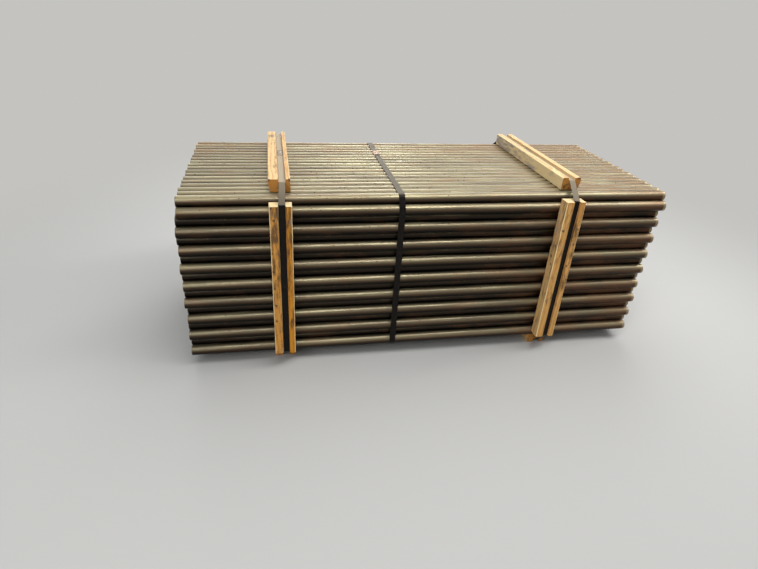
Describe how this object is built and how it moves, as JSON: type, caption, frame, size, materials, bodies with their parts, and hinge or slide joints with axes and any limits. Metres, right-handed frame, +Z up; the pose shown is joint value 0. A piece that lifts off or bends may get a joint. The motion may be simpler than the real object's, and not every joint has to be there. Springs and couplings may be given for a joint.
{
  "type": "bundle of iron pipes",
  "caption": "Bundle of plain-end steel pipes nested in rows, tied by flat steel straps over frames of grooved wooden battens, on which it stands or stacks.",
  "frame": {"origin": "on the floor, at the middle of the underside of the bottom battens", "axes": "+X along the pipes, to the right seen from the front; +Y from the front to the back; +Z up"},
  "size_m": [1.537, 0.7128, 0.603],
  "materials": {
    "pipe_iron": "mill scale with light rust, satin",
    "batten_wood": "sawn softwood, stained in places",
    "strap_steel": "dull grey cold-rolled strapping",
    "seal_steel": "zinc-dull crimped seal"
  },
  "bodies": {
    "root": {"front_face_pipes": "pipe_iron", "top_row_pipes": "pipe_iron", "pipe_core": "pipe_iron", "top_batten_left": "batten_wood", "bottom_batten_left": "batten_wood", "front_batten_left": "batten_wood", "back_batten_left": "batten_wood", "top_batten_right": "batten_wood", "bottom_batten_right": "batten_wood", "front_batten_right": "batten_wood", "back_batten_right": "batten_wood", "strap_left": "strap_steel", "strap_middle": "strap_steel", "strap_right": "strap_steel", "strap_seal_left": "seal_steel", "strap_seal_middle": "seal_steel", "strap_seal_right": "seal_steel"}
  },
  "joints": []
}
